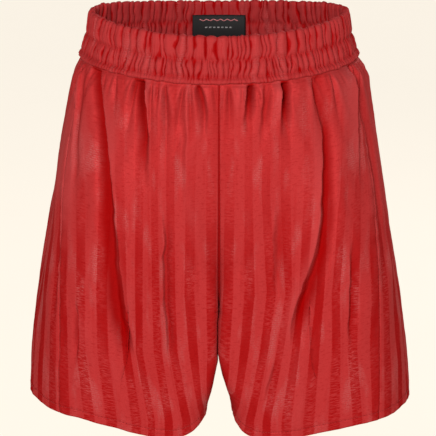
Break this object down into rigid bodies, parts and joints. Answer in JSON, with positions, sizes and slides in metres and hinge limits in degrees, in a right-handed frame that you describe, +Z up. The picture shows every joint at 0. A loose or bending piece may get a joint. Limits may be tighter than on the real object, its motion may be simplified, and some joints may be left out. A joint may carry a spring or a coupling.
{
  "type": "boxing shorts",
  "caption": "Satin boxing shorts with a double-channel elastic waist, wide striped legs and curved hems, as they hang when worn.",
  "frame": {"origin": "centre of the waist opening, level with the waistband's top edge at the hips", "axes": "+Z up along the body, -Y is the front, and +X is the wearer's left"},
  "size_m": [0.3892, 0.22, 0.4205],
  "materials": {
    "satin": "red polyester satin with a tone-on-tone stripe",
    "thread": "matched red sewing and overlock thread",
    "elastic": "knitted elastic, off-white",
    "label": "black woven satin"
  },
  "bodies": {
    "garment": {"left_front_panel": "satin", "right_front_panel": "satin", "left_back_panel": "satin", "right_back_panel": "satin", "waistband_back": "satin", "left_hem_fold": "satin", "right_hem_fold": "satin", "left_hem_stitch": "thread", "right_hem_stitch": "thread", "centre_front_seam": "thread", "centre_back_seam": "thread", "left_side_seam": "thread", "right_side_seam": "thread", "left_inseam": "thread", "right_inseam": "thread", "upper_channel_stitch": "thread", "lower_channel_stitch": "thread", "waist_seam_stitch": "thread", "upper_elastic": "elastic", "lower_elastic": "elastic", "label_stitch": "thread"},
    "waist_front": {"waistband_front": "satin"},
    "label": {"size_label": "label"}
  },
  "joints": [
    {"name": "waist_pull", "type": "slide", "parent": "garment", "child": "waist_front", "axis": [0, -1, 0], "range_m": [0, 0.08], "stiffness_N_per_m": 120, "deforming": ["upper_elastic", "lower_elastic", "upper_channel_stitch", "lower_channel_stitch", "waist_seam_stitch"]},
    {"name": "label_flip", "type": "hinge", "parent": "garment", "child": "label", "pos_m": [0, 0.09588, -0.022], "axis": [-1, 0, 0], "range_deg": [0, 120]}
  ]
}
